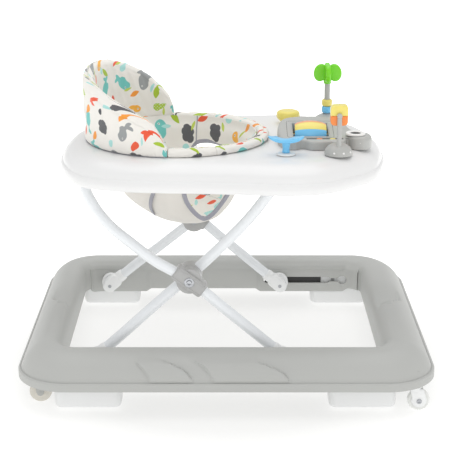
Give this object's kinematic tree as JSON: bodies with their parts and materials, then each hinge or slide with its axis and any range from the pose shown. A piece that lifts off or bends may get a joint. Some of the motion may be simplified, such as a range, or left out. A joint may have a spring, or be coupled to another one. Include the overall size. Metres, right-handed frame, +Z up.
{
  "type": "baby walker",
  "caption": "Baby walker: rounded base ring on wheels, folding scissor frame, play tray with toys and a soft sling seat.",
  "frame": {"origin": "on the floor under the centre of the base ring", "axes": "+X forward to the toy side, +Y to the walker's left, +Z up"},
  "size_m": [0.69, 0.584, 0.5169],
  "materials": {
    "base_grey": "satin grey moulded plastic",
    "white_plastic": "satin white moulded plastic",
    "wheel_rubber": "matt beige wheel plastic",
    "steel_white": "gloss white powder coat on steel tube",
    "bright_metal": "zinc plated",
    "hub_grey": "satin grey plastic",
    "fabric_print": "off-white woven cotton with a printed pattern of leaves, clouds and fish shapes",
    "toy_grey": "satin grey plastic",
    "toy_yellow": "glossy yellow plastic",
    "toy_orange": "glossy orange plastic",
    "toy_blue": "glossy light blue plastic",
    "toy_green": "glossy lime green plastic"
  },
  "bodies": {
    "base": {"base_ring": "base_grey", "stopper_front_left": "white_plastic", "stopper_front_right": "white_plastic", "stopper_rear_left": "white_plastic", "stopper_rear_right": "white_plastic", "rear_wheel_bracket_left": "base_grey", "rear_wheel_bracket_right": "base_grey", "pivot_pin_left": "white_plastic", "pivot_pin_right": "white_plastic"},
    "inner_frame": {"inner_leg_left": "steel_white", "inner_leg_right": "steel_white", "inner_leg_cap_left": "white_plastic", "inner_leg_cap_right": "white_plastic", "inner_cross_tube": "steel_white", "hub_saddle_left": "hub_grey", "hub_saddle_right": "hub_grey"},
    "outer_frame": {"outer_leg_left": "steel_white", "outer_leg_right": "steel_white", "outer_leg_cap_left": "white_plastic", "outer_leg_cap_right": "white_plastic", "outer_cross_tube": "steel_white", "hub_clamp_left": "hub_grey", "hub_clamp_right": "hub_grey", "hub_bolt_left": "bright_metal", "hub_bolt_right": "bright_metal", "slider_pin_left": "white_plastic", "slider_pin_right": "white_plastic"},
    "tray": {"tray_shell": "white_plastic", "tray_bracket_left": "white_plastic", "tray_bracket_right": "white_plastic", "slide_guide_left": "white_plastic", "slide_guide_right": "white_plastic", "height_lock_bracket": "white_plastic", "seat_ring_pad": "fabric_print", "seat_back_pad": "fabric_print", "seat_sling": "fabric_print", "toy_panel": "toy_grey", "panel_dial": "white_plastic", "flower_post": "toy_grey", "tumbler_post": "toy_grey", "tail_toy_base": "white_plastic"},
    "height_lock": {"height_lock_lever": "hub_grey"},
    "drum": {"toy_drum": "toy_yellow"},
    "button": {"panel_button": "white_plastic"},
    "bead_a": {"bead_orange": "toy_orange"},
    "bead_b": {"bead_yellow": "toy_yellow"},
    "flower": {"flower_head": "toy_green"},
    "lower_ring": {"ring_blue": "toy_blue"},
    "upper_ring": {"ring_yellow": "toy_yellow"},
    "tumbler": {"tumbler_block": "toy_yellow"},
    "tail_spinner": {"tail_toy": "toy_blue"},
    "knob": {"knob_toy": "toy_yellow"},
    "caster_left": {"caster_fork_left": "white_plastic", "caster_axle_left": "bright_metal"},
    "front_wheel_left": {"caster_wheel_left": "white_plastic"},
    "back_wheel_left": {"rear_wheel_left": "wheel_rubber"},
    "caster_right": {"caster_fork_right": "white_plastic", "caster_axle_right": "bright_metal"},
    "front_wheel_right": {"caster_wheel_right": "white_plastic"},
    "back_wheel_right": {"rear_wheel_right": "wheel_rubber"}
  },
  "joints": [
    {"name": "frame_fold", "type": "hinge", "parent": "base", "child": "inner_frame", "pos_m": [-0.226, 0, 0.058], "axis": [0, 1, 0], "range_deg": [-4, 19]},
    {"name": "frame_hub", "type": "hinge", "parent": "inner_frame", "child": "outer_frame", "pos_m": [-0.061, 0, 0.199], "axis": [0, 1, 0], "range_deg": [-38, 8]},
    {"name": "tray_pivot", "type": "hinge", "parent": "outer_frame", "child": "tray", "pos_m": [-0.22, 0, 0.372], "axis": [0, 1, 0], "range_deg": [-4, 19]},
    {"name": "height_lock_squeeze", "type": "hinge", "parent": "tray", "child": "height_lock", "pos_m": [0.242, 0, 0.367], "axis": [0, -1, 0], "range_deg": [0, 16], "stiffness_Nm_per_rad": 0.3},
    {"name": "drum_spin", "type": "hinge", "parent": "tray", "child": "drum", "pos_m": [0.1425, -0.046, 0.411], "axis": [1, 0, 0], "continuous": true},
    {"name": "button_press", "type": "slide", "parent": "tray", "child": "button", "axis": [0, 0, -1], "range_m": [0, 0.0018], "stiffness_N_per_m": 300},
    {"name": "bead_a_slide", "type": "slide", "parent": "tray", "child": "bead_a", "axis": [1, 0, 0], "range_m": [-0.014, 0.008]},
    {"name": "bead_b_slide", "type": "slide", "parent": "tray", "child": "bead_b", "axis": [1, 0, 0], "range_m": [-0.003, 0.012]},
    {"name": "flower_spin", "type": "hinge", "parent": "tray", "child": "flower", "pos_m": [0.179, 0.07, 0.49], "axis": [0, 0, 1], "continuous": true},
    {"name": "lower_ring_lift", "type": "slide", "parent": "tray", "child": "lower_ring", "axis": [0, 0, 1], "range_m": [0, 0.025]},
    {"name": "upper_ring_lift", "type": "slide", "parent": "tray", "child": "upper_ring", "axis": [0, 0, 1], "range_m": [0, 0.025]},
    {"name": "tumbler_spin", "type": "hinge", "parent": "tray", "child": "tumbler", "pos_m": [0.184, -0.124, 0.464], "axis": [0, 1, 0], "continuous": true},
    {"name": "tail_toy_spin", "type": "hinge", "parent": "tray", "child": "tail_spinner", "pos_m": [0.098, -0.127, 0.41], "axis": [0, 0, 1], "continuous": true},
    {"name": "knob_turn", "type": "hinge", "parent": "tray", "child": "knob", "pos_m": [0.112, 0.106, 0.41], "axis": [0, 0, 1], "continuous": true},
    {"name": "caster_left_swivel", "type": "hinge", "parent": "base", "child": "caster_left", "pos_m": [0.306, 0.256, 0.05], "axis": [0, 0, 1], "continuous": true},
    {"name": "front_wheel_left_roll", "type": "hinge", "parent": "caster_left", "child": "front_wheel_left", "pos_m": [0.314, 0.256, 0.01831], "axis": [0, 1, 0], "continuous": true},
    {"name": "rear_wheel_left_roll", "type": "hinge", "parent": "base", "child": "back_wheel_left", "pos_m": [-0.308, 0.222, 0.01831], "axis": [0, 1, 0], "continuous": true},
    {"name": "caster_right_swivel", "type": "hinge", "parent": "base", "child": "caster_right", "pos_m": [0.306, -0.256, 0.05], "axis": [0, 0, 1], "continuous": true},
    {"name": "front_wheel_right_roll", "type": "hinge", "parent": "caster_right", "child": "front_wheel_right", "pos_m": [0.314, -0.256, 0.01831], "axis": [0, 1, 0], "continuous": true},
    {"name": "rear_wheel_right_roll", "type": "hinge", "parent": "base", "child": "back_wheel_right", "pos_m": [-0.308, -0.222, 0.01831], "axis": [0, 1, 0], "continuous": true}
  ],
  "couplings": [
    {"joint": "frame_hub", "follows": "frame_fold", "ratio": -2},
    {"joint": "tray_pivot", "follows": "frame_fold", "ratio": 1},
    {"joint": "upper_ring_lift", "follows": "lower_ring_lift", "ratio": 1}
  ]
}
